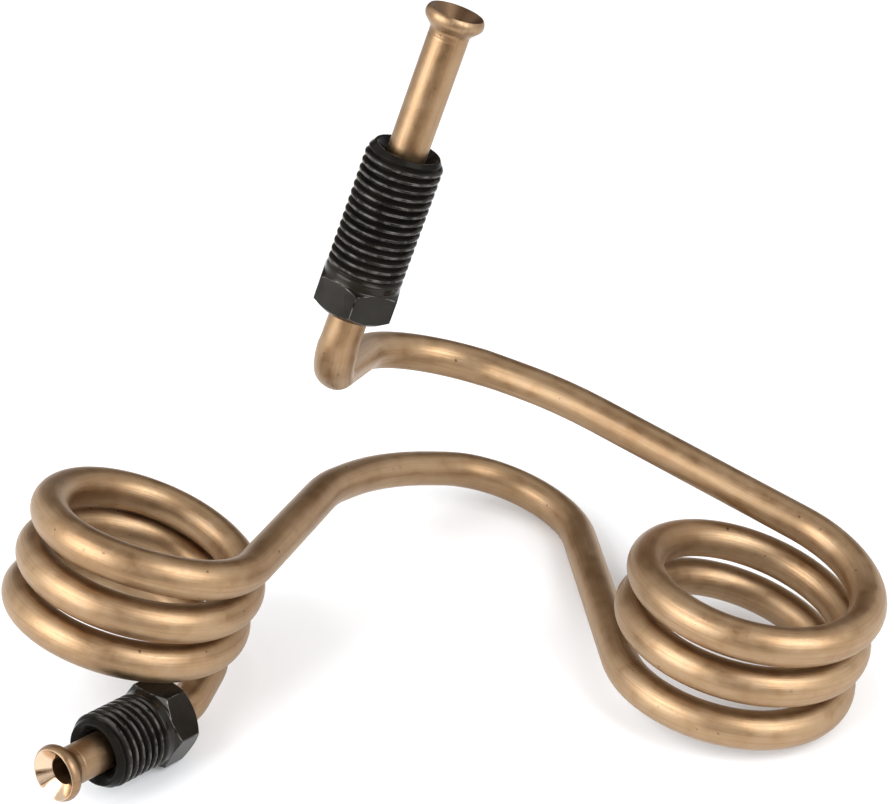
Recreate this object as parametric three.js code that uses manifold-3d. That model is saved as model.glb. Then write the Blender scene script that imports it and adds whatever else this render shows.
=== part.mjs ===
// A pre-formed brake line: one hollow copper-nickel tube wound into two vibration coils,
// flared at both ends, with a threaded tube nut loose behind each flare.
//
// Millimetres and degrees, +Z up. The line stands on the table at z = 0, the origin is under the
// middle of it, +X is to the right and +Y is away from whoever looks at its front.

import * as THREE from 'three';
import { mergeVertices } from 'three/addons/utils/BufferGeometryUtils.js';
import Module from 'manifold-3d';

const wasm = await Module();
wasm.setup();

const inch = 25.4;
const { degToRad } = THREE.MathUtils;
const place = (x, y, z) => new THREE.Vector3(x, y, z);

// ---------------------------------------------------------------- driving dimensions

const tube = {
  radius: (3 / 32) * inch,
  wall: 0.71,
};

// The end of the tube is folded back on itself and pressed to a 45 degree seat inside. Outside
// it is round from the rim to the widest place and on to a 45 degree cone.
const flare = {
  radius: 3.5,
  lipRadius: 1,
  rimRadius: 3.2,
  seatRadius: 3.1,
};

// A coil's axis leans from upright towards a heading (0 is +X, 90 is +Y). Seen from above the
// tube winds clockwise and down, from the entry angle (0 is the +X side) through the sweep. Its
// place is the middle of its topmost turn.
const coilSpacing = 74.2;
const coilsOffCentre = 2.2;
const rightCoil = {
  x: coilsOffCentre + coilSpacing / 2,
  y: -7.4,
  z: 19,
  lean: 14,
  heading: 13.8,
  radius: 13.8,
  pitch: 6.32,
  entry: -62.5,
  sweep: 957,
};
const leftCoil = {
  x: coilsOffCentre - coilSpacing / 2,
  y: -5.6,
  z: 24.8,
  lean: 23.2,
  heading: 22.4,
  radius: 13.2,
  pitch: 5.84,
  entry: 16.7,
  sweep: 1012.5,
};

// Bends, as on a tube bender's drawing. A bend's corner is where the two straights beside it
// would cross. Next to a coil it lies on the coil's tangent, at a distance from the coil. Any
// other is at the end of a leg from the corner before it, with the leg's heading and rise.
const runBend = { fromCoil: 35.6, radius: 68 };
const knee = { leg: 26.2, heading: 150.8, rise: 4.6, radius: 13.4 };
const elbow = { leg: 36.4, heading: -101.7, rise: 20.9, radius: 6.9 };
const upperEnd = { leg: 48.1, heading: 17.5, rise: 69.7 };
const bridgeRight = { fromCoil: 52, radius: 12.8 };
const bridgeMiddle = { leg: 31.6, heading: -147.8, rise: 20.3, radius: 37.5 };
const bridgeLeft = { fromCoil: 26, radius: 22.3 };
const coilTail = { fromCoil: 6.5, radius: 11 };
const tailBend = { leg: 14.1, heading: -103.5, rise: 2.9, radius: 8.5 };
const lowerEnd = { leg: 22.2, heading: -127.9, rise: 10.7 };

// Both nuts are turned from the same hexagon bar and share everything but the shank.
const nut = {
  acrossFlats: (3 / 8) * inch,
  threadRadius: 4.72,
  threadPitch: inch / 24,
  noseRadius: 4.15,
  seatRadius: 3.7,
  boreClearance: 0.26,
  headLength: 4.2,
  collarLength: 1.5,
  frontBevel: 40,
  backBevel: 50,
  backRadius: 4.45,
  boreLead: 0.3,
};
const longNut = { length: 21.2, fromTip: 17.2, turn: 43 };
const shortNut = { length: 13.1, fromTip: 6.5, turn: -11 };

// Facets.
const outerSides = 14;
const boreSides = 10;
const flareSteps = 8;
const nutSides = 30;
const stepAngle = degToRad(15);

// ---------------------------------------------------------------- worked out from them

const tubeBore = tube.radius - tube.wall;
const lipCircle = flare.radius - flare.lipRadius;
const lipDepth = Math.sqrt(flare.lipRadius ** 2 - (flare.rimRadius - lipCircle) ** 2);
const coneFoot = flare.lipRadius * Math.SQRT1_2;
const flareLength = lipDepth + 2 * coneFoot + lipCircle - tube.radius;
const nutBore = tube.radius + nut.boreClearance;
const cornerRadius = nut.acrossFlats / Math.sqrt(3);
// A unified thread's crest is an eighth of its pitch wide, and this is its depth.
const threadCrest = nut.threadPitch / 8;
const threadDepth = 0.6134 * nut.threadPitch;
// Where a crest begins on a nut's seam, as a share of the pitch.
const threadStart = 0.25;

// ---------------------------------------------------------------- the tube's route

function direction(heading, rise) {
  return place(
    Math.cos(degToRad(rise)) * Math.cos(degToRad(heading)),
    Math.cos(degToRad(rise)) * Math.sin(degToRad(heading)),
    Math.sin(degToRad(rise)),
  );
}

// The point of the coil, and the way the tube runs there, after turning by an angle in degrees.
function onCoil(coil, turned) {
  const axis = direction(coil.heading, 90 - coil.lean);
  const right = place(1, 0, 0).addScaledVector(axis, -axis.x).normalize();
  const front = right.clone().cross(axis);
  const angle = degToRad(coil.entry + turned);
  const point = place(coil.x, coil.y, coil.z)
    .addScaledVector(right, coil.radius * Math.cos(angle))
    .addScaledVector(front, coil.radius * Math.sin(angle))
    .addScaledVector(axis, (-coil.pitch * turned) / 360);
  const along = front.multiplyScalar(coil.radius * Math.cos(angle))
    .addScaledVector(right, -coil.radius * Math.sin(angle))
    .addScaledVector(axis, -coil.pitch / (2 * Math.PI))
    .normalize();
  return { point, along };
}

// A corner on the tangent at a coil's entry or exit.
function cornerBefore(coil, bend) {
  const { point, along } = onCoil(coil, 0);
  return { corner: point.addScaledVector(along, -bend.fromCoil), radius: bend.radius };
}

function cornerAfter(coil, bend) {
  const { point, along } = onCoil(coil, coil.sweep);
  return { corner: point.addScaledVector(along, bend.fromCoil), radius: bend.radius };
}

// The corner at the end of a bend's leg.
function cornerPast(before, bend) {
  const corner = before.corner.clone()
    .addScaledVector(direction(bend.heading, bend.rise), bend.leg);
  return { corner, radius: bend.radius };
}

// Each stretch of the route has a number of steps and the point at a fraction of its length.
function straight(from, to, steps = 1) {
  return { steps, at: (t) => from.clone().lerp(to, t) };
}

function arc(centre, from, axis, angle) {
  const arm = from.clone().sub(centre);
  return {
    steps: Math.ceil(angle / stepAngle),
    at: (t) => arm.clone().applyAxisAngle(axis, angle * t).add(centre),
  };
}

function winding(coil) {
  return {
    steps: Math.ceil(degToRad(coil.sweep) / stepAngle),
    at: (t) => onCoil(coil, coil.sweep * t).point,
  };
}

// How much of each straight its bends take up, tightened where two bends want the same metal.
function tangentLengths(points, radii) {
  const shortestStraight = 0.2;
  const wanted = points.map((point, i) => {
    if (i === 0 || i === points.length - 1) return 0;
    const incoming = point.clone().sub(points[i - 1]);
    const outgoing = points[i + 1].clone().sub(point);
    return radii[i] * Math.tan(incoming.angleTo(outgoing) / 2);
  });
  const share = (i, j) => {
    const room = points[i].distanceTo(points[j]) - shortestStraight;
    return Math.min(1, room / (wanted[i] + wanted[j]));
  };
  return wanted.map((length, i) => (length ? length * Math.min(share(i - 1, i), share(i, i + 1)) : 0));
}

// Straights and bends from one point to another, round the corners between them.
function bentRun(start, bends, end) {
  const points = [start, ...bends.map((bend) => bend.corner), end];
  const tangents = tangentLengths(points, [0, ...bends.map((bend) => bend.radius), 0]);
  const stretches = [];
  let from = start;
  for (let i = 1; i < points.length - 1; i++) {
    const incoming = points[i].clone().sub(points[i - 1]).normalize();
    const outgoing = points[i + 1].clone().sub(points[i]).normalize();
    const angle = incoming.angleTo(outgoing);
    const axis = incoming.clone().cross(outgoing).normalize();
    const bendStart = points[i].clone().addScaledVector(incoming, -tangents[i]);
    const radius = tangents[i] / Math.tan(angle / 2);
    const centre = axis.clone().cross(incoming).multiplyScalar(radius).add(bendStart);
    stretches.push(straight(from, bendStart), arc(centre, bendStart, axis, angle));
    from = points[i].clone().addScaledVector(outgoing, tangents[i]);
  }
  stretches.push(straight(from, end));
  return stretches;
}

// The centre line from flare to flare. Its steps fall where the stretches ask for them, so they
// are close together round the bends and far apart on the straights.
class Route extends THREE.Curve {
  constructor(stretches) {
    super();
    this.stretches = stretches;
    this.steps = stretches.reduce((sum, stretch) => sum + stretch.steps, 0);
  }

  getPoint(t) {
    let step = t * this.steps;
    for (const stretch of this.stretches) {
      if (step <= stretch.steps) return stretch.at(step / stretch.steps);
      step -= stretch.steps;
    }
    return this.stretches.at(-1).at(1);
  }

  getUtoTmapping(u) {
    return u;
  }
}

const runCorner = cornerBefore(rightCoil, runBend);
const kneeCorner = cornerPast(runCorner, knee);
const elbowCorner = cornerPast(kneeCorner, elbow);
const upperTip = cornerPast(elbowCorner, upperEnd).corner;
const upperInward = direction(upperEnd.heading, upperEnd.rise).negate();

const bridgeRightCorner = cornerAfter(rightCoil, bridgeRight);
const bridgeMiddleCorner = cornerPast(bridgeRightCorner, bridgeMiddle);
const bridgeLeftCorner = cornerBefore(leftCoil, bridgeLeft);

const coilTailCorner = cornerAfter(leftCoil, coilTail);
const tailCorner = cornerPast(coilTailCorner, tailBend);
const lowerTip = cornerPast(tailCorner, lowerEnd).corner;
const lowerInward = direction(lowerEnd.heading, lowerEnd.rise).negate();

function brakeLineRoute() {
  const upperRoot = upperTip.clone().addScaledVector(upperInward, flareLength);
  const lowerRoot = lowerTip.clone().addScaledVector(lowerInward, flareLength);
  return new Route([
    straight(upperTip, upperRoot, flareSteps),
    ...bentRun(
      upperRoot,
      [elbowCorner, kneeCorner, runCorner],
      onCoil(rightCoil, 0).point,
    ),
    winding(rightCoil),
    ...bentRun(
      onCoil(rightCoil, rightCoil.sweep).point,
      [bridgeRightCorner, bridgeMiddleCorner, bridgeLeftCorner],
      onCoil(leftCoil, 0).point,
    ),
    winding(leftCoil),
    ...bentRun(
      onCoil(leftCoil, leftCoil.sweep).point,
      [coilTailCorner, tailCorner],
      lowerRoot,
    ),
    straight(lowerRoot, lowerTip, flareSteps),
  ]);
}

// ---------------------------------------------------------------- the tube

function circle(radius, sides) {
  return Array.from({ length: sides }, (_, i) => {
    const angle = (2 * Math.PI * i) / sides;
    return new THREE.Vector2(radius * Math.cos(angle), radius * Math.sin(angle));
  });
}

// Radii of the double flare at a depth behind its tip.
function flareOutside(depth) {
  const pastWidest = depth - lipDepth;
  if (pastWidest < coneFoot) {
    return lipCircle + Math.sqrt(flare.lipRadius ** 2 - pastWidest ** 2);
  }
  return Math.max(tube.radius, lipCircle + 2 * coneFoot - pastWidest);
}

function flareInside(depth) {
  return Math.max(tubeBore, flare.seatRadius - depth);
}

// Opens the end of the tube as a flaring tool does, by moving its wall in and out.
function flareEnd(geometry, tip, inward) {
  const position = geometry.getAttribute('position');
  const middleOfWall = tube.radius - tube.wall / 2;
  const touch = 0.01;
  const point = new THREE.Vector3();
  for (let i = 0; i < position.count; i++) {
    point.fromBufferAttribute(position, i).sub(tip);
    const depth = point.dot(inward);
    const reach = point.addScaledVector(inward, -depth).length();
    if (depth < -touch || depth > flareLength + touch || reach > tube.radius + touch) continue;
    const radius = reach > middleOfWall ? flareOutside(depth) : flareInside(depth);
    point.multiplyScalar(radius / reach).addScaledVector(inward, depth).add(tip);
    position.setXYZ(i, point.x, point.y, point.z);
  }
}

function brakeTubeGeometry() {
  const section = new THREE.Shape(circle(tube.radius, outerSides));
  section.holes.push(new THREE.Path(circle(tubeBore, boreSides)));
  const route = brakeLineRoute();
  const geometry = new THREE.ExtrudeGeometry(section, { extrudePath: route, steps: route.steps });
  flareEnd(geometry, upperTip, upperInward);
  flareEnd(geometry, lowerTip, lowerInward);
  geometry.computeVertexNormals();
  return geometry;
}

// ---------------------------------------------------------------- the nuts

function solidOf(geometry) {
  const bare = geometry.clone().deleteAttribute('normal').deleteAttribute('uv');
  const merged = mergeVertices(bare, 1e-4);
  const mesh = new wasm.Mesh({
    numProp: 3,
    vertProperties: new Float32Array(merged.getAttribute('position').array),
    triVerts: new Uint32Array(merged.index.array),
  });
  mesh.merge();
  return new wasm.Manifold(mesh);
}

function geometryOf(solid) {
  const { vertProperties, triVerts } = solid.getMesh();
  const indexed = new THREE.BufferGeometry();
  indexed.setAttribute('position', new THREE.BufferAttribute(vertProperties, 3));
  indexed.setIndex(new THREE.BufferAttribute(triVerts, 1));
  const flat = indexed.toNonIndexed();
  flat.computeVertexNormals();
  return flat;
}

// Half a section through a nut, as [radius, distance from the nose], with the shank still plain.
function nutProfile(length) {
  const headStart = length - nut.headLength;
  const frontRise = (cornerRadius - nut.threadRadius) * Math.tan(degToRad(nut.frontBevel));
  const backRise = (cornerRadius - nut.backRadius) * Math.tan(degToRad(nut.backBevel));
  return [
    [nut.seatRadius, 0],
    [nut.noseRadius, 0],
    [nut.threadRadius, nut.threadRadius - nut.noseRadius],
    [nut.threadRadius, headStart],
    [cornerRadius, headStart + frontRise],
    [cornerRadius, length - backRise],
    [nut.backRadius, length],
    [nutBore + nut.boreLead, length],
    [nutBore, length - nut.boreLead],
    [nutBore, nut.seatRadius - nutBore],
    [nut.seatRadius, 0],
  ];
}

function turnedAboutZ(profile) {
  const points = profile.map(([radius, height]) => new THREE.Vector2(radius, height));
  return new THREE.LatheGeometry(points, nutSides).rotateX(Math.PI / 2);
}

// A right-hand screw from a pitch below the nose up to a height. It is turned as plain rings, and
// each ring of the thread is then drawn up by a pitch over its full turn, so that it ends on the
// start of the next one. What would pass an end face of the screw is gathered on that face's rim.
function screwGeometry(top) {
  const bottom = -nut.threadPitch;
  const rim = nut.threadRadius - threadDepth;
  const foot = [[0, bottom], [rim, bottom]];
  const head = [[rim, top], [0, top]];
  const rings = [];
  const firstCrest = (threadStart - 2) * nut.threadPitch;
  for (let height = firstCrest; height < top; height += nut.threadPitch) {
    rings.push(
      [nut.threadRadius, height],
      [nut.threadRadius, height + threadCrest],
      [rim, height + (nut.threadPitch + threadCrest) / 2],
    );
  }
  const profile = [...foot, ...rings, ...head];
  const geometry = turnedAboutZ(profile);
  const position = geometry.getAttribute('position');
  for (let i = 0; i < position.count; i++) {
    const column = Math.floor(i / profile.length);
    const ring = (i % profile.length) - foot.length;
    if (ring < 0 || ring >= rings.length) continue;
    const drawnUp = position.getZ(i) + (nut.threadPitch * column) / nutSides;
    const height = THREE.MathUtils.clamp(drawnUp, bottom, top);
    const share = drawnUp === height ? 1 : rim / rings[ring][0];
    position.setXYZ(i, position.getX(i) * share, position.getY(i) * share, height);
  }
  return geometry;
}

// Turned all round, then the bar's six flats cut through the head and the thread cut up to the
// collar.
function nutGeometry(length) {
  const turned = solidOf(turnedAboutZ(nutProfile(length)));
  const bar = new THREE.CylinderGeometry(cornerRadius, cornerRadius, 2 * length, 6)
    .rotateX(Math.PI / 2)
    .translate(0, 0, length / 2);
  const threadEnd = length - nut.headLength - nut.collarLength;
  const head = new THREE.CylinderGeometry(cornerRadius, cornerRadius, length, nutSides)
    .rotateX(Math.PI / 2)
    .translate(0, 0, threadEnd + length / 2);
  const uncut = solidOf(screwGeometry(threadEnd + nut.threadPitch)).add(solidOf(head));
  return geometryOf(turned.intersect(solidOf(bar)).intersect(uncut));
}

// ---------------------------------------------------------------- the assembly

const copperNickel = new THREE.MeshStandardMaterial({ color: 0xb08a63, metalness: 1, roughness: 0.34 });
const blackOxide = new THREE.MeshStandardMaterial({ color: 0x2a2927, metalness: 0.7, roughness: 0.45 });

function brakeTube() {
  const mesh = new THREE.Mesh(brakeTubeGeometry(), copperNickel);
  mesh.name = 'brake_tube';
  return mesh;
}

// A nut has its nose towards the flare and its hexagon turned about the tube by its own angle.
function tubeNut(name, size, tip, inward) {
  const mesh = new THREE.Mesh(nutGeometry(size.length), blackOxide.clone());
  mesh.name = name;
  mesh.position.copy(tip).addScaledVector(inward, size.fromTip);
  mesh.quaternion.setFromUnitVectors(place(0, 0, 1), inward);
  mesh.rotateZ(degToRad(size.turn));
  return mesh;
}

const brakeLine = new THREE.Group();
brakeLine.add(
  brakeTube(),
  tubeNut('long_tube_nut', longNut, upperTip, upperInward),
  tubeNut('short_tube_nut', shortNut, lowerTip, lowerInward),
);

export default brakeLine;
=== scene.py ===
"""The looks of a coiled copper-nickel brake line with two black tube nuts."""

import math

import bpy
from mathutils import Matrix, Quaternion, Vector


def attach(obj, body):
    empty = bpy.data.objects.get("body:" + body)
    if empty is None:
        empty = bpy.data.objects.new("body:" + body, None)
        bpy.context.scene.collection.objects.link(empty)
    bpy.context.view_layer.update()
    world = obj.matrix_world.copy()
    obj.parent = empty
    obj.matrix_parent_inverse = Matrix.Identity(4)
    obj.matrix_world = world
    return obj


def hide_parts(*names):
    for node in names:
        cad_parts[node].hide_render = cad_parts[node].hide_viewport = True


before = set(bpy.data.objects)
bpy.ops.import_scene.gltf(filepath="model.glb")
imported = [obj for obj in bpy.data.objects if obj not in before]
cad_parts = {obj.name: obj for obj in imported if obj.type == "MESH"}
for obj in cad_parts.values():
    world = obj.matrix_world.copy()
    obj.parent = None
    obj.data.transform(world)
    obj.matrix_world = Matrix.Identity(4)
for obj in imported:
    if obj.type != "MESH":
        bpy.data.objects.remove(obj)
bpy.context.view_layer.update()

MM = 0.001
INCH = 25.4

# ------------------------------------------------------------------ dimensions, mm and degrees

TUBE_RADIUS = 3 / 32 * INCH
TUBE_WALL = 0.71
TUBE_BORE = TUBE_RADIUS - TUBE_WALL
TUBE_SIDES = 44

# The flare: a round lip, then a cone down to the tube. The seat inside is a cone too.
FLARE_RADIUS = 3.5
FLARE_LIP_RADIUS = 1
FLARE_RIM_RADIUS = 3.2
FLARE_SEAT_RADIUS = 3.1
LIP_CIRCLE = FLARE_RADIUS - FLARE_LIP_RADIUS
LIP_DEPTH = math.sqrt(FLARE_LIP_RADIUS**2 - (FLARE_RIM_RADIUS - LIP_CIRCLE) ** 2)
CONE_FOOT = FLARE_LIP_RADIUS * math.sqrt(0.5)
FLARE_LENGTH = LIP_DEPTH + 2 * CONE_FOOT + LIP_CIRCLE - TUBE_RADIUS

# The clamp that holds the tube while it is flared leaves a shallow groove. Past it the tube is
# plain from FLARE_END on.
FLARE_TO_CLAMP_MARK = 0.75
CLAMP_MARK = FLARE_LENGTH + FLARE_TO_CLAMP_MARK
CLAMP_MARK_REACH = 0.12
CLAMP_MARK_DEPTH = 0.06
FLARE_END = CLAMP_MARK + 0.5

# A coil winds down from its top, round an axis that leans from upright towards a heading. It
# starts at its entry angle, where 0 is its right and 90 its front, and turns through its sweep.
# Its rises are where it leaves an even winding, a quarter turn apart.
COIL_SPACING = 74.2
COILS_OFF_CENTRE = 2.2
RIGHT_COIL = {
    "top": Vector((COILS_OFF_CENTRE + COIL_SPACING / 2, -7.4, 19)),
    "lean": 14,
    "heading": 13.8,
    "radius": 13.8,
    "pitch": 6.32,
    "entry": -62.5,
    "sweep": 957,
    "rises": (0, 0, 0, 0.05, 0.17, 0.4, 0.45, 0.35, 0.37, 0.17),
}
LEFT_COIL = {
    "top": Vector((COILS_OFF_CENTRE - COIL_SPACING / 2, -5.6, 24.8)),
    "lean": 23.2,
    "heading": 22.4,
    "radius": 13.2,
    "pitch": 5.84,
    "entry": 16.7,
    "sweep": 1012.5,
    "rises": (0.85, 0.1, 0, 0, 0.16, -0.15, 0.75, 0.2, 0.29, -0.15, 0),
}

# A bend beside a coil has its corner on the coil's tangent, at a distance from the coil. Any
# other has it at the end of a leg, with the leg's heading and rise.
RUN_BEND = {"from_coil": 35.6, "radius": 68}
KNEE = {"leg": 26.2, "heading": 150.8, "rise": 4.6, "radius": 13.4}
ELBOW = {"leg": 36.4, "heading": -101.7, "rise": 20.9, "radius": 6.9}
UPPER_END = {"leg": 48.1, "heading": 17.5, "rise": 69.7}
BRIDGE_RIGHT = {"from_coil": 52, "radius": 12.8}
BRIDGE_MIDDLE = {"leg": 31.6, "heading": -147.8, "rise": 20.3, "radius": 37.5}
BRIDGE_LEFT = {"from_coil": 26, "radius": 22.3}
COIL_TAIL = {"from_coil": 6.5, "radius": 11}
TAIL_BEND = {"leg": 14.1, "heading": -103.5, "rise": 2.9, "radius": 8.5}
LOWER_END = {"leg": 22.2, "heading": -127.9, "rise": 10.7}

# Small marks on the tube: how far along, where in the turn round it, their radius, how dark.
MARKS = (
    (8.6, 0.15, 0.35, 0.3),
    (45.9, 0.17, 0.3, 0.4),
    (212, 0.443, 0.34, 0.95),
    (254.5, 0.65, 0.3, 0.3),
    (433, 0.49, 0.4, 0.25),
    (434.6, 0.5, 0.3, 0.3),
    (497.1, 0.557, 0.28, 0.4),
    (584, 0.625, 0.28, 0.5),
)

# A nut's nose is at a distance from its flare's tip, and the nut is turned about the tube. The
# thread is as deep as the standard's share of its pitch.
ACROSS_FLATS = 3 / 8 * INCH
HEX_ROUNDING = 0.05
THREAD_RADIUS = 4.72
THREAD_PITCH = INCH / 24
THREAD_DEPTH_SHARE = 0.6134
THREAD_DEPTH = THREAD_DEPTH_SHARE * THREAD_PITCH
THREAD_START = 0.5625
THREAD_RUNOUT = 1.5
RINGS_PER_PITCH = 14
NOSE_RADIUS = 3.98
NOSE_TAPER = 0.65
SEAT_RADIUS = 3.7
NUT_CLEARANCE = 0.26
NUT_BORE = TUBE_RADIUS + NUT_CLEARANCE
BORE_CHAMFER = 0.3
HEAD_LENGTH = 4.2
COLLAR_LENGTH = 1.5
BACK_RADIUS = 4.3
FRONT_BEVEL = 30
BACK_BEVEL = 38
NECK_FILLET = 0.4
LONG_NUT = {"length": 21.2, "from_tip": 17.2, "turn": 40}
SHORT_NUT = {"length": 13.1, "from_tip": 6.5, "turn": -11}

# Two rings this far to either side of an edge show it as slightly rounded.
EDGE = 0.05

# ------------------------------------------------------------------ the tube's route


def direction(heading, rise):
    heading, rise = math.radians(heading), math.radians(rise)
    return Vector((
        math.cos(rise) * math.cos(heading),
        math.cos(rise) * math.sin(heading),
        math.sin(rise),
    ))


def rise_at(coil, turned):
    """How far the tube lies above an even winding. The coil's rises are those where it passes its
    right, front, left and back, in turn from the first that it meets, and its ends have none."""
    quarter = 90
    first = math.ceil(coil["entry"] / quarter) * quarter - coil["entry"]
    passed = [first + quarter * i for i in range(len(coil["rises"]))]
    places = [0, *passed, coil["sweep"]]
    rises = [0, *coil["rises"], 0]
    last = sum(turned > place for place in passed)
    share = (turned - places[last]) / (places[last + 1] - places[last])
    eased = (3 - 2 * share) * share**2
    return rises[last] + (rises[last + 1] - rises[last]) * eased


def on_coil(coil, turned):
    """The point after turning by an angle, and the way the tube runs there."""
    axis = direction(coil["heading"], 90 - coil["lean"])
    right = (Vector((1, 0, 0)) - axis * axis.x).normalized()
    front = right.cross(axis)
    angle = math.radians(coil["entry"] + turned)
    point = (
        coil["top"]
        + right * coil["radius"] * math.cos(angle)
        + front * coil["radius"] * math.sin(angle)
        + axis * (rise_at(coil, turned) - coil["pitch"] * turned / 360)
    )
    along = (
        front * coil["radius"] * math.cos(angle)
        - right * coil["radius"] * math.sin(angle)
        - axis * coil["pitch"] / math.tau
    )
    return point, along.normalized()


def corner_before(coil, bend):
    point, along = on_coil(coil, 0)
    return point - along * bend["from_coil"]


def corner_after(coil, bend):
    point, along = on_coil(coil, coil["sweep"])
    return point + along * bend["from_coil"]


def end_of_leg(start, leg):
    return start + direction(leg["heading"], leg["rise"]) * leg["leg"]


def straight(start, end):
    mm_apart = 2.0
    count = max(1, round((end - start).length / mm_apart))
    return [start.lerp(end, i / count) for i in range(count + 1)]


def winding(coil):
    degrees_apart = 4
    count = round(coil["sweep"] / degrees_apart)
    return [on_coil(coil, coil["sweep"] * i / count)[0] for i in range(count + 1)]


def tangent_lengths(points, radii):
    """How much of each straight its bends take up, tightened where two want the same metal."""
    shortest_straight = 0.2
    wanted = [0.0] * len(points)
    for i in range(1, len(points) - 1):
        incoming = points[i] - points[i - 1]
        outgoing = points[i + 1] - points[i]
        wanted[i] = radii[i] * math.tan(incoming.angle(outgoing) / 2)
    share = [
        min(1, ((b - a).length - shortest_straight) / (wanted[i] + wanted[i + 1]))
        for i, (a, b) in enumerate(zip(points, points[1:]))
    ]
    return [
        length * min(share[i - 1], share[i]) if length else 0.0
        for i, length in enumerate(wanted)
    ]


def bent_run(start, bends, end):
    """Points from start to end, round the bends between them, each with the corner it rounds."""
    degrees_apart = 4
    fewest = 4
    points = [start, *(corner for corner, _ in bends), end]
    tangents = tangent_lengths(points, [0, *(bend["radius"] for _, bend in bends), 0])
    route = []
    here = start
    for i in range(1, len(points) - 1):
        incoming = (points[i] - points[i - 1]).normalized()
        outgoing = (points[i + 1] - points[i]).normalized()
        angle = incoming.angle(outgoing)
        axis = incoming.cross(outgoing).normalized()
        bend_start = points[i] - incoming * tangents[i]
        centre = bend_start + axis.cross(incoming) * tangents[i] / math.tan(angle / 2)
        arm = bend_start - centre
        count = max(fewest, round(math.degrees(angle) / degrees_apart))
        route += straight(here, bend_start)[:-1]
        route += [centre + Quaternion(axis, angle * k / count) @ arm for k in range(count)]
        here = points[i] + outgoing * tangents[i]
    return route + straight(here, end)


run_corner = corner_before(RIGHT_COIL, RUN_BEND)
knee_corner = end_of_leg(run_corner, KNEE)
elbow_corner = end_of_leg(knee_corner, ELBOW)
upper_tip = end_of_leg(elbow_corner, UPPER_END)
upper_inward = -direction(UPPER_END["heading"], UPPER_END["rise"])

bridge_right_corner = corner_after(RIGHT_COIL, BRIDGE_RIGHT)
bridge_middle_corner = end_of_leg(bridge_right_corner, BRIDGE_MIDDLE)
bridge_left_corner = corner_before(LEFT_COIL, BRIDGE_LEFT)

coil_tail_corner = corner_after(LEFT_COIL, COIL_TAIL)
tail_corner = end_of_leg(coil_tail_corner, TAIL_BEND)
lower_tip = end_of_leg(tail_corner, LOWER_END)
lower_inward = -direction(LOWER_END["heading"], LOWER_END["rise"])


def route_between_flares():
    """The centre line from behind the upper flare, through both coils, to behind the lower."""
    leg = [(elbow_corner, ELBOW), (knee_corner, KNEE), (run_corner, RUN_BEND)]
    bridge = [
        (bridge_right_corner, BRIDGE_RIGHT),
        (bridge_middle_corner, BRIDGE_MIDDLE),
        (bridge_left_corner, BRIDGE_LEFT),
    ]
    tail = [(coil_tail_corner, COIL_TAIL), (tail_corner, TAIL_BEND)]
    right_turns = winding(RIGHT_COIL)
    left_turns = winding(LEFT_COIL)
    return (
        bent_run(upper_tip + upper_inward * FLARE_END, leg, right_turns[0])[:-1]
        + right_turns[:-1]
        + bent_run(right_turns[-1], bridge, left_turns[0])[:-1]
        + left_turns[:-1]
        + bent_run(left_turns[-1], tail, lower_tip + lower_inward * FLARE_END)
    )


def carried_frames(points):
    """The way at each point, and a direction square to it, carried along without twisting."""
    last = len(points) - 1
    ways = [
        (points[min(i + 1, last)] - points[max(i - 1, 0)]).normalized()
        for i in range(last + 1)
    ]
    side = ways[0].orthogonal().normalized()
    sides = [side]
    for before, after in zip(ways, ways[1:]):
        side = before.rotation_difference(after) @ side
        side = (side - after * side.dot(after)).normalized()
        sides.append(side)
    return ways, sides


def flattening(points, ways):
    """At each point, a matrix that makes the round section oval where the tube is bent: bending
    flattens it towards the bend's centre and widens it across."""
    oval_share = 0.2
    reach = 3
    last = len(points) - 1
    matrices = []
    for i, way in enumerate(ways):
        before, after = max(0, i - reach), min(last, i + reach)
        length = sum((points[k + 1] - points[k]).length for k in range(before, after))
        bend = (ways[after] - ways[before]) / length
        bend -= way * bend.dot(way)
        oval = oval_share * TUBE_RADIUS * bend.length
        inward = bend.normalized()
        across = way.cross(inward)
        matrix = Matrix.Identity(3)
        for row in range(3):
            for column in range(3):
                wider = across[row] * across[column] - inward[row] * inward[column]
                matrix[row][column] += oval * wider
        matrices.append(matrix)
    return matrices


# ------------------------------------------------------------------ meshes


def looped_grid(name, rows, uvs):
    """A closed surface of rings with equally many points, the last ring joined to the first.
    uvs gives each ring's distance along, for the material's streaks."""
    mesh = bpy.data.meshes.new(name)
    count = len(rows[0])
    points = [point * MM for row in rows for point in row]
    faces = []
    for r in range(len(rows)):
        here, below = r * count, (r + 1) % len(rows) * count
        for c in range(count):
            d = (c + 1) % count
            faces.append((here + c, here + d, below + d, below + c))
    mesh.from_pydata(points, [], faces)
    layer = mesh.uv_layers.new(name="along_and_around")
    for polygon in mesh.polygons:
        r, c = divmod(polygon.index, count)
        along = (uvs[r], uvs[r], uvs[r + 1], uvs[r + 1])
        around = (c / count, (c + 1) / count, (c + 1) / count, c / count)
        for loop, u, v in zip(polygon.loop_indices, along, around):
            layer.data[loop].uv = (u, v)
    mesh.shade_smooth()
    thing = bpy.data.objects.new(name, mesh)
    bpy.context.collection.objects.link(thing)
    return thing


def paint(thing, name, values):
    """A number at each point of a mesh, for its material."""
    attribute = thing.data.attributes.new(name, "FLOAT", "POINT")
    attribute.data.foreach_set("value", values)


# ------------------------------------------------------------------ the tube


def flare_outside(depth):
    """Radius by distance from the tip."""
    if depth == CLAMP_MARK:
        return TUBE_RADIUS - CLAMP_MARK_DEPTH
    past_widest = depth - LIP_DEPTH
    if past_widest < CONE_FOOT:
        return LIP_CIRCLE + math.sqrt(FLARE_LIP_RADIUS**2 - past_widest**2)
    return max(TUBE_RADIUS, LIP_CIRCLE + 2 * CONE_FOOT - past_widest)


def flare_inside(depth):
    return max(TUBE_BORE, FLARE_SEAT_RADIUS - depth)


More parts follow.
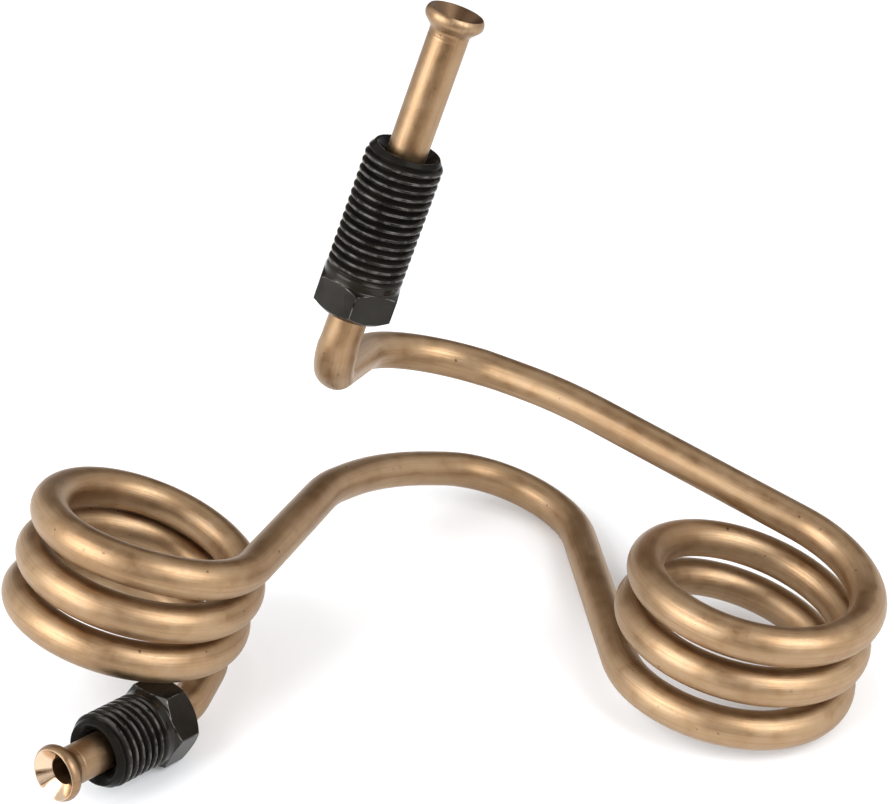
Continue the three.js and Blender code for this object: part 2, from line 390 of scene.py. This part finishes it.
def flare_depths():
    """How far from the tip a flare's rings lie: closest together at the rim, then evenly round
    the lip and down the cone, with close ones at the edges and at the clamp's mark."""
    lip_steps = 7
    cone_steps = 4
    throat = FLARE_SEAT_RADIUS - TUBE_BORE
    cone = FLARE_LENGTH - throat
    beside_mark = CLAMP_MARK_REACH + 2 * EDGE
    return (
        [LIP_DEPTH * (k / lip_steps) ** 2 for k in range(lip_steps + 1)]
        + [LIP_DEPTH + CONE_FOOT * k / cone_steps for k in range(1, cone_steps)]
        + [throat - EDGE, throat, throat + EDGE]
        + [throat + cone * k / cone_steps for k in range(1, cone_steps)]
        + [FLARE_LENGTH - 2 * EDGE, FLARE_LENGTH + 2 * EDGE]
        + [CLAMP_MARK - beside_mark, CLAMP_MARK - CLAMP_MARK_REACH, CLAMP_MARK]
        + [CLAMP_MARK + CLAMP_MARK_REACH, CLAMP_MARK + beside_mark]
    )


def brake_tube():
    """One closed surface of rings: from flare to flare outside, and back through the bore."""
    depths = flare_depths()
    upper = [upper_tip + upper_inward * depth for depth in depths]
    lower = [lower_tip + lower_inward * depth for depth in reversed(depths)]
    middle = route_between_flares()
    points = upper + middle + lower
    outer_end = [flare_outside(depth) for depth in depths]
    inner_end = [flare_inside(depth) for depth in depths]
    outside = outer_end + [TUBE_RADIUS] * len(middle) + outer_end[::-1]
    inside = inner_end + [TUBE_BORE] * len(middle) + inner_end[::-1]
    ways, frames = carried_frames(points)
    ovals = flattening(points, ways)
    distance = [0.0]
    for a, b in zip(points, points[1:]):
        distance.append(distance[-1] + (b - a).length)

    def ring(i, radius):
        other = ways[i].cross(frames[i])
        angles = [-math.tau * k / TUBE_SIDES for k in range(TUBE_SIDES)]
        spokes = [frames[i] * math.cos(a) + other * math.sin(a) for a in angles]
        return [points[i] + ovals[i] @ spoke * radius for spoke in spokes]

    there = range(len(points))
    back = there[::-1]
    rows = [ring(i, outside[i]) for i in there] + [ring(i, inside[i]) for i in back]
    thing = looped_grid("fine_brake_tube", rows, distance + distance[::-1] + [0.0])
    seat, tarnish_and_shade = flare_paint(distance, inside)
    paint(thing, "seat", [value for value in seat for _ in range(TUBE_SIDES)])
    paint(thing, "tarnish_and_shade", [value for value in tarnish_and_shade for _ in range(TUBE_SIDES)])
    return thing


def flare_paint(distance, inside):
    """For each ring, outside and then back through the bore, how polished it is, and how much
    tarnish or painted shade it has. The lower flare's cone is bright. The upper flare's cone is
    painted dark, as shade inside its mouth, and the outside of the tube near its lower end is a
    little tarnished."""
    tarnished_length = 13
    tarnished_outside = 0.3
    tolerance = 0.01
    count = len(distance)
    coned = [float(radius > TUBE_BORE + tolerance) for radius in reversed(inside)]
    into_tarnish = [tarnished_length - distance[-1] + along for along in distance]
    seat = [0.0] * count
    seat += [value * (i < count / 2) for i, value in enumerate(coned)]
    tarnish_and_shade = [min(1, max(0, into)) * tarnished_outside for into in into_tarnish]
    # Painted shade: the upper flare's cone, inside its mouth.
    tarnish_and_shade += [value * (i > count / 2) for i, value in enumerate(coned)]
    return seat, tarnish_and_shade


# ------------------------------------------------------------------ the nuts


def thread_groove(turns):
    """Depth of a thread with straight flanks, 0 on its flat crest and 1 in its narrow root."""
    crest_share = 1 / 4
    steepness = 1.12
    off_crest = abs((turns + 0.5) % 1 - 0.5) * 2
    flank = max(0, (off_crest - crest_share) / (1 - crest_share))
    return min(1, flank * steepness)


def past_corner(angle):
    """The angle since the hexagon's last corner."""
    return (angle + math.pi / 6) % (math.pi / 3)


def hexagon_radius(angle):
    """Distance from the middle to the hexagon's side, its corners just rounded."""
    off_middle = past_corner(angle) - math.pi / 6
    corner = ACROSS_FLATS / math.sqrt(3) - HEX_ROUNDING
    return min(ACROSS_FLATS / 2 / math.cos(off_middle), corner)


def nut_angles():
    """Angles round a nut, close together at the hexagon's corners."""
    corner = 30
    even = [5 * k for k in range(12)]
    close = [corner + side * off for off in (0.5, 1.1, 2.5) for side in (-1, 1)]
    return [math.radians(60 * k + step) for k in range(6) for step in sorted(even + close)]


class NutForm:
    """A tube nut as radii by angle and by z, which runs from its nose to the back of its head."""

    def __init__(self, length):
        self.length = length
        self.head_start = length - HEAD_LENGTH
        self.collar_start = self.head_start - COLLAR_LENGTH
        tangent = math.tan(math.radians(45 - FRONT_BEVEL / 2))
        self.fillet_start = self.head_start - NECK_FILLET * tangent

    def on_shank(self, z, angle):
        """The thread runs out in a groove that gets shallower towards the head."""
        runout_before_collar = 0.35
        nose = NOSE_RADIUS + z * NOSE_TAPER
        turns = z / THREAD_PITCH - angle / math.tau - THREAD_START
        past_full = (z - self.collar_start) / THREAD_PITCH + runout_before_collar
        fade = min(1, max(0, 1 - past_full / THREAD_RUNOUT)) ** 2
        thread = THREAD_RADIUS - THREAD_DEPTH * thread_groove(turns) * fade
        return min(nose, thread), z

    def on_front(self, radius):
        """The head's front: a hollow fillet round the neck, then a cone."""
        fillet_reach = NECK_FILLET * (1 - math.sin(math.radians(FRONT_BEVEL)))
        out = max(0, radius - THREAD_RADIUS)
        if out < fillet_reach:
            return radius, self.fillet_start + math.sqrt(NECK_FILLET**2 - (NECK_FILLET - out) ** 2)
        return radius, self.head_start + out * math.tan(math.radians(FRONT_BEVEL))

    def on_back(self, radius):
        return radius, self.length - (radius - BACK_RADIUS) * math.tan(math.radians(BACK_BEVEL))

    def head(self, angle):
        """The head's front, one point of its side after another, and its back."""
        front_shares = (0.005, 0.03, 0.08, 0.16, 0.26, 0.38, 0.6, 0.94, 1)
        side_shares = (0.02, 0.06, 0.3, 0.7, 0.94, 0.98)
        back_shares = (0, 0.08, 0.5, 0.92, 1)
        side = hexagon_radius(angle)
        side_start, side_end = self.on_front(side)[1], self.on_back(side)[1]
        front_width = side - THREAD_RADIUS
        back_width = side - BACK_RADIUS
        return (
            [self.on_front(THREAD_RADIUS + front_width * share) for share in front_shares]
            + [(side, side_start + (side_end - side_start) * share) for share in side_shares]
            + [self.on_back(side - back_width * share) for share in back_shares]
        )

    def bore(self):
        """From the head's back, through the chamfered bore, to the seat that meets the flare."""
        seat_depth = SEAT_RADIUS - NUT_BORE
        chamfer_end = self.length - BORE_CHAMFER
        return [
            (BACK_RADIUS - EDGE, self.length),
            (NUT_BORE + BORE_CHAMFER + EDGE, self.length),
            (NUT_BORE + BORE_CHAMFER, self.length - EDGE / 2),
            (NUT_BORE + EDGE / 2, chamfer_end + EDGE / 2),
            (NUT_BORE, chamfer_end - EDGE / 2),
            (NUT_BORE, seat_depth + EDGE),
            (NUT_BORE + EDGE, seat_depth - EDGE),
            (SEAT_RADIUS - EDGE, EDGE),
        ]

    def outline(self, angle):
        """Radius and z of each point at one angle, all the way round the metal."""
        thread_rows = round(self.fillet_start / THREAD_PITCH * RINGS_PER_PITCH)
        depths = [self.fillet_start * k / thread_rows for k in range(thread_rows + 1)]
        nose = [(SEAT_RADIUS + EDGE, 0), (NOSE_RADIUS - EDGE, 0)]
        shank = [self.on_shank(z, angle) for z in depths]
        return nose + shank + self.head(angle) + self.bore()

    def wear(self, radius, z, angle):
        """How far the black has rubbed off: most on the hexagon's edges, less on thread crests."""
        crest_wear, crest_band = 0.34, 0.06
        edge_wear, edge_band = 0.75, 0.04
        corner_band = 0.012
        if z < self.collar_start - 2 * EDGE:
            return crest_wear * max(0, (radius - THREAD_RADIUS + crest_band) / crest_band)
        on_side = radius > hexagon_radius(angle) - edge_band
        on_corner = past_corner(angle) < corner_band
        edges = (self.on_front(radius)[1], self.on_back(radius)[1])
        by_edge = min(abs(z - edge) for edge in edges) < edge_band
        return edge_wear if on_side and (by_edge or on_corner) else 0.0


def depth_in_thread(radius):
    """How deep in the thread a point lies, from 0 to 1, with the bore counted as halfway, for the
    painted shade in the grooves and bore.
    """
    in_bore = 0.5
    if radius < NUT_BORE + BORE_CHAMFER + 2 * EDGE:
        return in_bore
    return min(1, max(0, (THREAD_RADIUS - radius) / THREAD_DEPTH))


def tube_nut(name, size, tip, inward):
    """One closed surface of rings: along the shank and head outside, and back through the bore."""
    form = NutForm(size["length"])
    angles = nut_angles()
    rows = list(zip(*(form.outline(angle) for angle in angles)))
    turn = Matrix.Rotation(math.radians(size["turn"]), 4, "Z")
    aim = Vector((0, 0, 1)).rotation_difference(inward).to_matrix().to_4x4()
    place = Matrix.Translation(tip + inward * size["from_tip"]) @ aim @ turn
    spokes = [Vector((math.cos(angle), math.sin(angle), 0)) for angle in angles]
    rings = [
        [place @ (spoke * radius + Vector((0, 0, z))) for spoke, (radius, z) in zip(spokes, row)]
        for row in rows
    ]
    along = [row[0][1] for row in rows]
    thing = looped_grid(name, rings, along + [0.0])
    worn = [form.wear(radius, z, angle) for row in rows for angle, (radius, z) in zip(angles, row)]
    deep = [depth_in_thread(radius) for row in rows for radius, _ in row]
    paint(thing, "worn", worn)
    paint(thing, "deep", deep)
    weighted = thing.modifiers.new("flat_faces_stay_flat", "WEIGHTED_NORMAL")
    weighted.keep_sharp = False
    return thing


# ------------------------------------------------------------------ materials


class Look:
    """A material, and short ways to write its nodes."""

    def __init__(self, name):
        self.material = bpy.data.materials.new(name)
        self.material.use_nodes = True
        self.tree = self.material.node_tree
        self.shader = self.tree.nodes["Principled BSDF"]

    def node(self, kind, **values):
        """A new node, with values for its settings and, where it has none so named, its sockets."""
        made = self.tree.nodes.new(kind)
        for key, value in values.items():
            if hasattr(made, key):
                setattr(made, key, value)
            else:
                made.inputs[key.replace("_", " ")].default_value = value
        return made

    def link(self, source, target):
        self.tree.links.new(source, target)

    def attach(self, value, socket):
        """A number or colour goes into a socket as its value, another node's output as a link."""
        if isinstance(value, (int, float)):
            socket.default_value = value
        elif isinstance(value, tuple):
            socket.default_value = (*value, 1)
        else:
            self.link(value, socket)

    def stretched(self, along, around):
        """Coordinates that stretch a texture along the tube: millimetres along, turns around."""
        uv = self.node("ShaderNodeUVMap", uv_map="along_and_around")
        mapping = self.node("ShaderNodeMapping")
        mapping.inputs["Scale"].default_value = (along, around, 1)
        self.link(uv.outputs["UV"], mapping.inputs["Vector"])
        return mapping.outputs["Vector"]

    def noise(self, scale, detail, where=None):
        texture = self.node("ShaderNodeTexNoise", Scale=scale, Detail=detail)
        if where is None:
            where = self.node("ShaderNodeTexCoord").outputs["Object"]
        self.link(where, texture.inputs["Vector"])
        return texture.outputs["Fac"]

    def fit(self, value, span, to):
        """Carries a value from one span of numbers to another, and holds it at the ends."""
        made = self.node("ShaderNodeMapRange")
        made.inputs["From Min"].default_value, made.inputs["From Max"].default_value = span
        made.inputs["To Min"].default_value, made.inputs["To Max"].default_value = to
        self.link(value, made.inputs["Value"])
        return made.outputs["Result"]

    def mix(self, share, first, second):
        first_colour, second_colour, mixed = 6, 7, 2
        made = self.node("ShaderNodeMix", data_type="RGBA")
        self.link(share, made.inputs["Factor"])
        self.attach(first, made.inputs[first_colour])
        self.attach(second, made.inputs[second_colour])
        return made.outputs[mixed]

    def reckon(self, operation, first, second):
        made = self.node("ShaderNodeMath", operation=operation)
        self.attach(first, made.inputs[0])
        self.attach(second, made.inputs[1])
        return made.outputs[0]

    def add(self, first, second):
        return self.reckon("ADD", first, second)

    def times(self, first, second):
        return self.reckon("MULTIPLY", first, second)

    def larger(self, first, second):
        return self.reckon("MAXIMUM", first, second)

    def attribute(self, name):
        return self.node("ShaderNodeAttribute", attribute_name=name).outputs["Fac"]

    def spot(self, along, around, radius, darkness):
        """How dark a spot on the tube is: most in its middle, 0 outside it."""
        core_share = 0.3
        girth = math.tau * TUBE_RADIUS
        apart = self.node("ShaderNodeVectorMath", operation="DISTANCE")
        self.link(self.stretched(1, girth), apart.inputs[0])
        apart.inputs[1].default_value = (along, around * girth, 0)
        return self.fit(apart.outputs["Value"], (radius * core_share, radius), (darkness, 0))

    def bump(self, height, strength, distance):
        made = self.node("ShaderNodeBump", Strength=strength, Distance=distance)
        self.link(height, made.inputs["Height"])
        self.link(made.outputs["Normal"], self.shader.inputs["Normal"])


def copper_nickel():
    """Drawn tube: satin, with fine lengthwise lines, browner and paler patches and small pits."""
    reddish, golden = (0.31, 0.196, 0.106), (0.385, 0.259, 0.148)
    pale, brown = (0.415, 0.3, 0.196), (0.25, 0.145, 0.072)
    line_brown, pit_brown = (0.235, 0.138, 0.072), (0.09, 0.055, 0.035)
    tarnish_and_shade_brown, bright = (0.15, 0.09, 0.052), (0.66, 0.49, 0.34)
    look = Look("satin_copper_nickel")
    patches = look.noise(60, detail=4)
    mottle = look.noise(450, detail=4)
    lines = look.noise(1, detail=5, where=look.stretched(0.07, 46))
    hairlines = look.noise(1, detail=3, where=look.stretched(0.25, 150))
    grain = look.noise(3600, detail=2)

    pits = look.fit(look.noise(1100, detail=1), (0.76, 0.8), (0, 0.8))
    for mark in MARKS:
        pits = look.larger(pits, look.spot(*mark))
    colour = look.mix(look.fit(patches, (0.35, 0.65), (0, 1)), reddish, golden)
    colour = look.mix(look.fit(mottle, (0.5, 0.75), (0, 0.5)), colour, pale)
    colour = look.mix(look.fit(mottle, (0.48, 0.25), (0, 0.55)), colour, brown)
    colour = look.mix(look.fit(lines, (0.5, 0.75), (0, 0.5)), colour, line_brown)
    colour = look.mix(pits, colour, pit_brown)
    # Darker brown: tarnish on the tube near its lower end, and painted shade in the upper flare's
    # cone.
    colour = look.mix(look.attribute("tarnish_and_shade"), colour, tarnish_and_shade_brown)
    colour = look.mix(look.attribute("seat"), colour, bright)
    look.link(colour, look.shader.inputs["Base Color"])

    rough = look.fit(patches, (0.3, 0.7), (0.39, 0.46))
    rough = look.add(rough, look.fit(mottle, (0.3, 0.7), (-0.05, 0.05)))
    rough = look.add(rough, look.fit(lines, (0.3, 0.7), (-0.05, 0.05)))
    rough = look.add(rough, look.fit(grain, (0.2, 0.8), (-0.06, 0.06)))
    rough = look.add(rough, look.times(look.attribute("seat"), -0.35))
    look.link(rough, look.shader.inputs["Roughness"])
    look.shader.inputs["Metallic"].default_value = 1
    height = look.add(look.add(lines, hairlines), look.times(grain, 0.6))
    look.bump(height, strength=0.22, distance=0.00007)
    return look.material


def black_oxide():
    """Blackened steel: semi-gloss, rubbed to grey steel on the thread's crests and the edges, with
    painted shade: less shine down the thread's flanks and in the bore.
    """
    black, worn_black = (0.004, 0.0036, 0.003), (0.012, 0.0105, 0.0085)
    bare_steel = (0.3, 0.28, 0.26)
    look = Look("black_oxide_steel")
    patches = look.noise(260, detail=4)
    grain = look.noise(4200, detail=3)

    scuffs = look.fit(look.noise(900, detail=3), (0.44, 0.64), (0, 0.7))
    rubbed = look.times(look.attribute("worn"), scuffs)
    colour = look.mix(look.fit(patches, (0.3, 0.7), (0, 1)), black, worn_black)
    colour = look.mix(rubbed, colour, bare_steel)
    look.link(colour, look.shader.inputs["Base Color"])
    look.link(look.times(rubbed, 0.8), look.shader.inputs["Metallic"])

    rough = look.fit(patches, (0.3, 0.7), (0.14, 0.23))
    rough = look.add(rough, look.fit(grain, (0, 1), (-0.05, 0.05)))
    look.link(rough, look.shader.inputs["Roughness"])
    # Painted shade: the shine falls away deeper in the thread's grooves and in the bore.
    specular = look.fit(look.attribute("deep"), (0, 0.5), (0.24, 0.04))
    look.link(specular, look.shader.inputs["Specular IOR Level"])
    look.shader.inputs["Specular Tint"].default_value = (1, 0.93, 0.82, 1)
    look.bump(grain, strength=0.1, distance=0.00004)
    return look.material


def dull(name, colour):
    """Plain and dull, for the floor and the cards round it."""
    look = Look(name)
    look.shader.inputs["Base Color"].default_value = (*colour, 1)
    look.shader.inputs["Roughness"].default_value = 0.9
    return look.material


# ------------------------------------------------------------------ the pieces

tube = brake_tube()
tube.data.materials.append(copper_nickel())
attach(tube, "line")
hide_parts("brake_tube")

steel = black_oxide()
for node, body, size, tip, inward in (
    ("long_tube_nut", "long_nut", LONG_NUT, upper_tip, upper_inward),
    ("short_tube_nut", "short_nut", SHORT_NUT, lower_tip, lower_inward),
):
    nut = tube_nut("fine_" + node, size, tip, inward)
    nut.data.materials.append(steel)
    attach(nut, body)
    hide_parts(node)

# ------------------------------------------------------------------ floor, light and camera, in m


def sheet(name, size, material):
    """A flat rectangle for the studio round the part."""
    wide, high = size[0] / 2, size[1] / 2
    mesh = bpy.data.meshes.new(name)
    corners = [(-wide, -high, 0), (wide, -high, 0), (wide, high, 0), (-wide, high, 0)]
    mesh.from_pydata(corners, [], [(0, 1, 2, 3)])
    mesh.materials.append(material)
    thing = bpy.data.objects.new(name, mesh)
    bpy.context.collection.objects.link(thing)
    return thing


def card(name, size, colour):
    """A screen that only the metal mirrors, as studios set round shiny things."""
    thing = sheet(name, size, dull("card", colour))
    thing.visible_camera = False
    thing.visible_diffuse = False
    thing.visible_shadow = False
    return thing


def face_part(thing, azimuth, elevation, distance):
    """Stands a thing off from the part and turns it to face it. Azimuth 0 is in front of the
    part and 90 to its right."""
    middle = Vector((0, 0, 0.03))
    way = direction(azimuth - 90, elevation)
    thing.location = middle + way * distance
    thing.rotation_euler = way.to_track_quat("Z", "Y").to_euler()


def standing_card(name, azimuth, elevation, distance, size, colour):
    face_part(card(name, size, colour), azimuth, elevation, distance)


def card_on_floor(name, middle, size, colour):
    above_floor = 0.002
    card(name, size, colour).location = Vector((*middle, above_floor))


def soft_lamp(name, azimuth, elevation, distance, size, power):
    """A rectangular lamp that faces the part."""
    lamp = bpy.data.lights.new(name, "AREA")
    lamp.shape = "RECTANGLE"
    lamp.size, lamp.size_y = size
    lamp.energy = power
    lamp.color = (0.97, 1, 1.04)
    thing = bpy.data.objects.new(name, lamp)
    bpy.context.collection.objects.link(thing)
    face_part(thing, azimuth, elevation, distance)


def surroundings(shown, lit):
    """White where the camera, metal or glass looks, and a softer level for the light it gives."""
    world = bpy.data.worlds.new("studio")
    world.use_nodes = True
    tree = world.node_tree
    background = tree.nodes["Background"]
    background.inputs["Color"].default_value = (1, 1, 1, 1)
    path = tree.nodes.new("ShaderNodeLightPath")
    seen = tree.nodes.new("ShaderNodeMath")
    seen.operation = "MAXIMUM"
    tree.links.new(path.outputs["Is Camera Ray"], seen.inputs[0])
    through = tree.nodes.new("ShaderNodeMath")
    through.operation = "MAXIMUM"
    tree.links.new(path.outputs["Is Glossy Ray"], through.inputs[0])
    tree.links.new(path.outputs["Is Transmission Ray"], through.inputs[1])
    tree.links.new(through.outputs[0], seen.inputs[1])
    level = tree.nodes.new("ShaderNodeMapRange")
    level.inputs["To Min"].default_value = lit
    level.inputs["To Max"].default_value = shown
    tree.links.new(seen.outputs[0], level.inputs["Value"])
    tree.links.new(level.outputs["Result"], background.inputs["Strength"])
    bpy.context.scene.world = world


def camera():
    """Where the photograph was taken from: a little over 30 degrees above the part, and very
    slightly turned and rolled."""
    place = Vector((0.93, -230.55, 180.47)) * MM
    azimuth, elevation, roll = 0.131, 31.699, -0.248
    pixels_wide = 894
    focal_pixels = 2228.5
    sensor = 36.0
    lens = bpy.data.cameras.new("camera")
    lens.sensor_fit = "HORIZONTAL"
    lens.sensor_width = sensor
    lens.lens = focal_pixels / pixels_wide * sensor
    lens.clip_start = 0.01
    thing = bpy.data.objects.new("camera", lens)
    bpy.context.collection.objects.link(thing)
    aim = direction(azimuth - 90, elevation).to_track_quat("Z", "Y").to_matrix().to_4x4()
    rolled = Matrix.Rotation(math.radians(roll), 4, "Z")
    thing.matrix_world = Matrix.Translation(place) @ aim @ rolled
    bpy.context.scene.camera = thing


sheet("floor", (6, 6), dull("pale_floor", (0.92, 0.92, 0.92)))
surroundings(shown=1.0, lit=0.8)
dark = (0.15, 0.1, 0.06)
brown = (0.25, 0.175, 0.11)
standing_card("behind", azimuth=180, elevation=22, distance=0.9, size=(1.3, 0.7), colour=dark)
standing_card("above_front", azimuth=0, elevation=55, distance=0.9, size=(0.7, 0.7), colour=brown)
standing_card("overhead", azimuth=0, elevation=89, distance=0.9, size=(0.5, 0.5), colour=brown)
standing_card("in_front", azimuth=0, elevation=1, distance=0.9, size=(0.8, 0.3), colour=dark)
card_on_floor("on_floor_in_front", middle=(0, -0.66), size=(0.8, 1.08), colour=brown)
soft_lamp("left", azimuth=-59, elevation=30, distance=0.5, size=(0.38, 0.5), power=2.9)
soft_lamp("right", azimuth=52, elevation=38, distance=0.5, size=(0.3, 0.36), power=1.9)
camera()

view_settings = bpy.context.scene.view_settings
view_settings.view_transform = "Standard"
